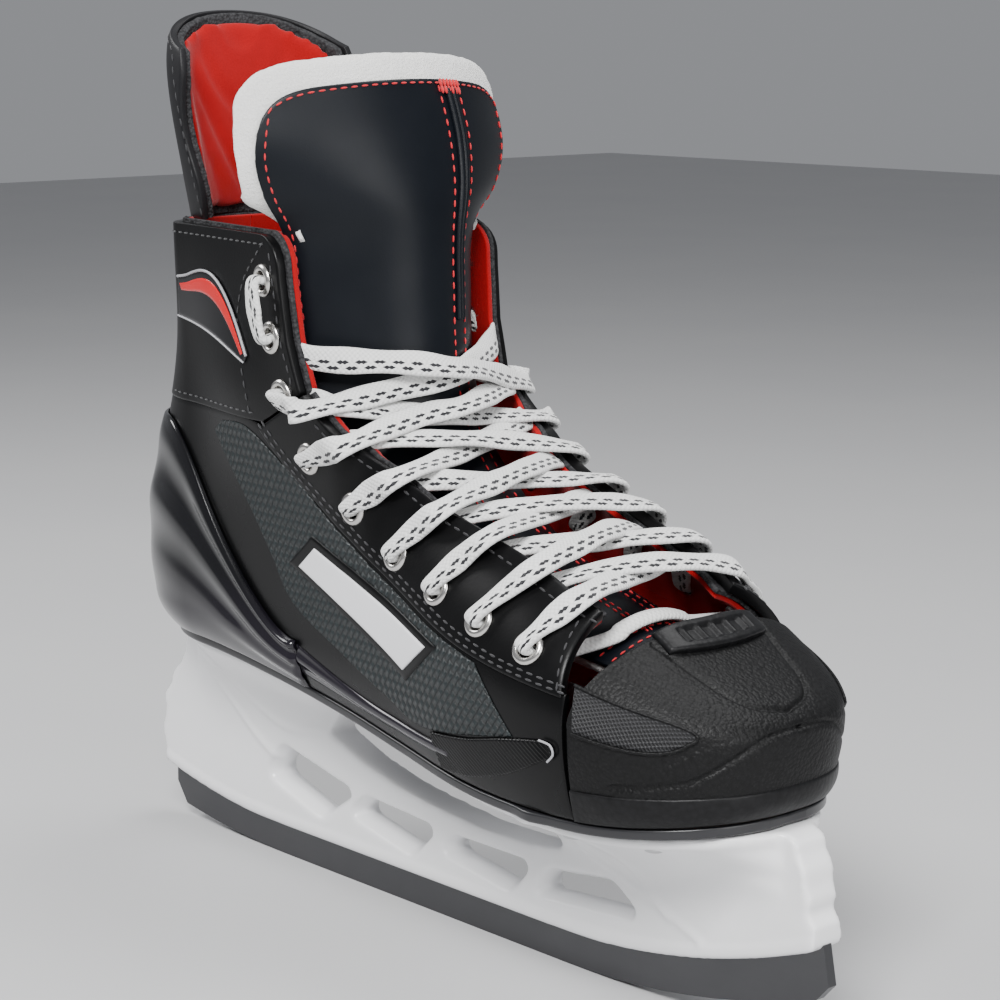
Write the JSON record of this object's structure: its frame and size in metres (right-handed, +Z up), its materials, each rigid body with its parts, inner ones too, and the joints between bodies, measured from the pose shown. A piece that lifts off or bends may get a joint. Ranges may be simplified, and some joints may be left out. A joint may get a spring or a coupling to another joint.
{
  "type": "ice hockey skate",
  "caption": "Laced ice skate with a moulded boot, felt tongue, tendon guard, hollow blade holder and a steel runner.",
  "frame": {"origin": "middle of the runner's flat ice contact, under the middle of the holder", "axes": "+X towards the toe, +Y towards the wearer's left (the medial side of this right skate), +Z up"},
  "size_m": [0.287, 0.1006, 0.263],
  "materials": {
    "runner_steel": "dark satin ground steel",
    "holder_plastic": "glossy white moulded",
    "zinc_steel": "zinc plated",
    "outsole_plastic": "black composite",
    "board_fibre": "fibre board",
    "footbed_foam": "foam with fabric cover",
    "quarter_weave": "dark weave pattern",
    "counter_gloss": "gloss black moulded",
    "black_leather": "smooth coated black",
    "toe_plastic": "pebble grained black",
    "black_rubber": "matte",
    "mesh_grey": "woven mesh",
    "plate_white": "satin white",
    "badge_red": "red and black gloss",
    "red_lining": "brushed microfibre",
    "toe_lining": "felt lining",
    "nickel": "nickel plated",
    "tongue_leather": "smooth dark blue-black",
    "white_felt": "dense felt",
    "guard_black": "coated black",
    "white_lace": "flat braid with black tracers",
    "lace_tip": "clear wound tip"
  },
  "bodies": {
    "root": {"runner": "runner_steel", "blade_holder": "holder_plastic", "runner_bolt_front": "zinc_steel", "runner_bolt_rear": "zinc_steel", "bolt_washers": "zinc_steel", "bolt_nuts": "zinc_steel", "holder_rivets_front": "zinc_steel", "holder_rivets_rear": "zinc_steel", "rivet_burrs": "zinc_steel", "outsole": "outsole_plastic", "insole_board": "board_fibre", "footbed": "footbed_foam", "quarter_lateral": "quarter_weave", "quarter_medial": "quarter_weave", "heel_counter": "counter_gloss", "facing_lateral": "black_leather", "facing_medial": "black_leather", "cuff_lateral": "black_leather", "cuff_medial": "black_leather", "toe_cap": "toe_plastic", "toe_bumper": "black_rubber", "toe_mesh_lateral": "mesh_grey", "toe_mesh_medial": "mesh_grey", "toe_tab": "counter_gloss", "label_plate_lateral": "plate_white", "label_plate_medial": "plate_white", "ankle_badge_lateral": "badge_red", "ankle_badge_medial": "badge_red", "side_emblem_lateral": "mesh_grey", "side_emblem_medial": "mesh_grey", "liner_lateral": "red_lining", "liner_medial": "red_lining", "liner_toe": "toe_lining", "ankle_pad_lateral": "red_lining", "ankle_pad_medial": "red_lining", "eyelets_lateral": "nickel", "eyelets_medial": "nickel", "tongue_leather_lower": "tongue_leather", "tongue_felt_lower": "white_felt", "lace_strand_a": "white_lace", "lace_strand_b": "white_lace", "lace_bar": "white_lace", "lace_tips": "lace_tip"},
    "tongue_top": {"tongue_leather_upper": "tongue_leather", "tongue_felt_upper": "white_felt", "tongue_piping": "tongue_leather"},
    "tendon_guard": {"tendon_guard_shell": "guard_black", "tendon_guard_pad": "red_lining"}
  },
  "joints": [
    {"name": "tongue_flex", "type": "hinge", "parent": "root", "child": "tongue_top", "pos_m": [-0.008, 0, 0.19], "axis": [0, 1, 0], "range_deg": [0, 32], "stiffness_Nm_per_rad": 0.8},
    {"name": "guard_flex", "type": "hinge", "parent": "root", "child": "tendon_guard", "pos_m": [-0.101, 0, 0.2016], "axis": [0, -1, 0], "range_deg": [0, 18], "stiffness_Nm_per_rad": 2}
  ]
}
